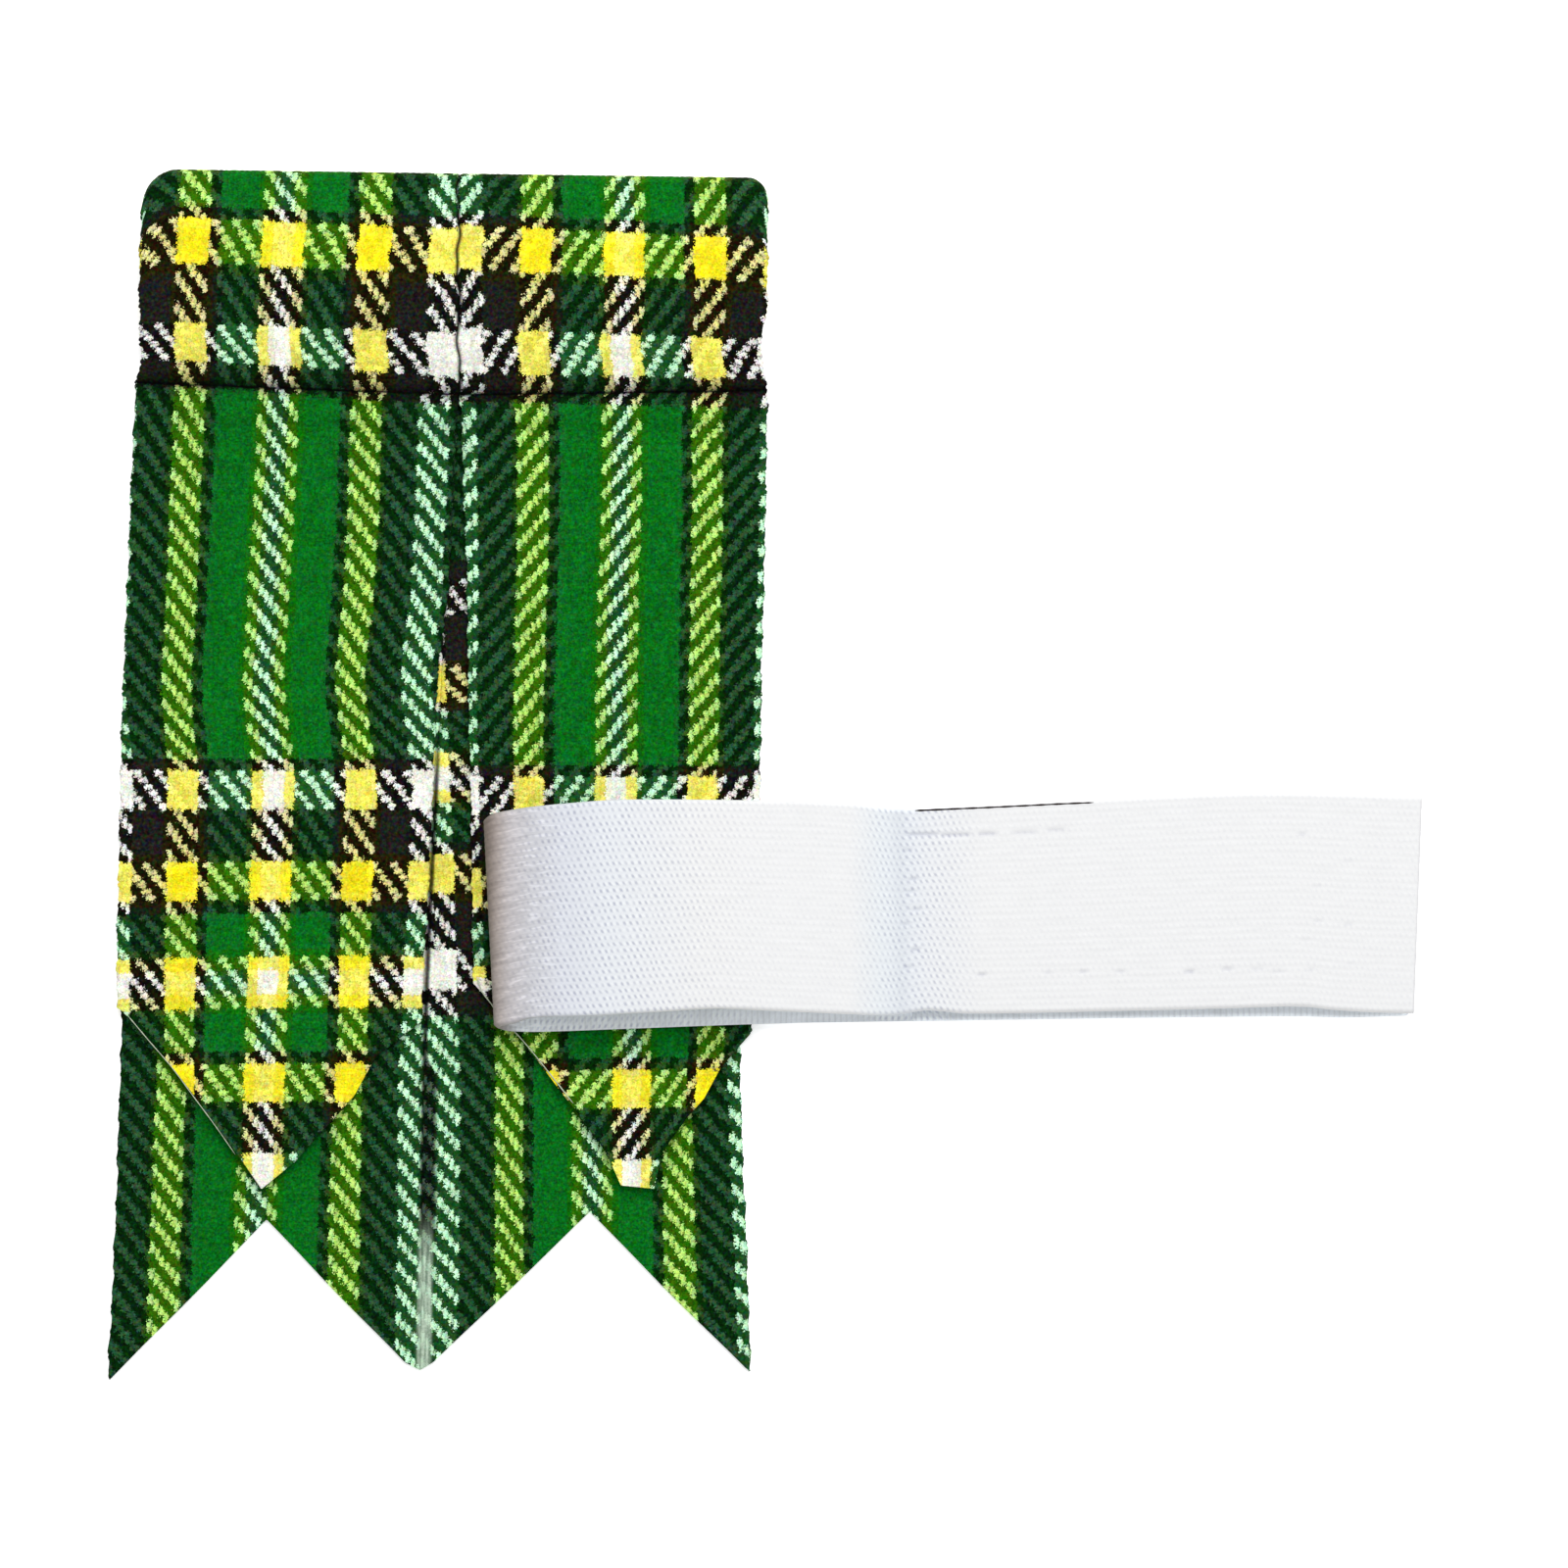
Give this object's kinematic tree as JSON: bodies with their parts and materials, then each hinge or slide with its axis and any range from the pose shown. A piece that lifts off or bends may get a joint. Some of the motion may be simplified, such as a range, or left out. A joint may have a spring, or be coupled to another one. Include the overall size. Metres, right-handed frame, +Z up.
{
  "type": "sock garter",
  "caption": "Sock garter lying flat: tartan flashes with sleeved heads, pointed fronts and swallow-tailed backs, and a white elastic band closed into a loop.",
  "frame": {"origin": "on the surface that the garter lies on, under the middle of its box", "axes": "+Z up out of the surface it lies on; +X across the flashes, towards the band's free end; +Y up the flashes, from their tips to their sleeves"},
  "size_m": [0.2082, 0.1894, 0.0123],
  "materials": {
    "tartan_cloth": "2/2 twill in green, black, yellow and white wool, matt",
    "white_elastic": "white ribbed elastic webbing, matt",
    "loop_tape": "white brushed nylon loop pile",
    "hook_tape": "white nylon tape with rows of fine hooks"
  },
  "bodies": {
    "root": {"left_front_tail": "tartan_cloth", "right_front_tail": "tartan_cloth", "left_back_tail": "tartan_cloth", "right_back_tail": "tartan_cloth", "elastic_band": "white_elastic", "loop_patch": "loop_tape", "hook_patch": "hook_tape"}
  },
  "joints": []
}
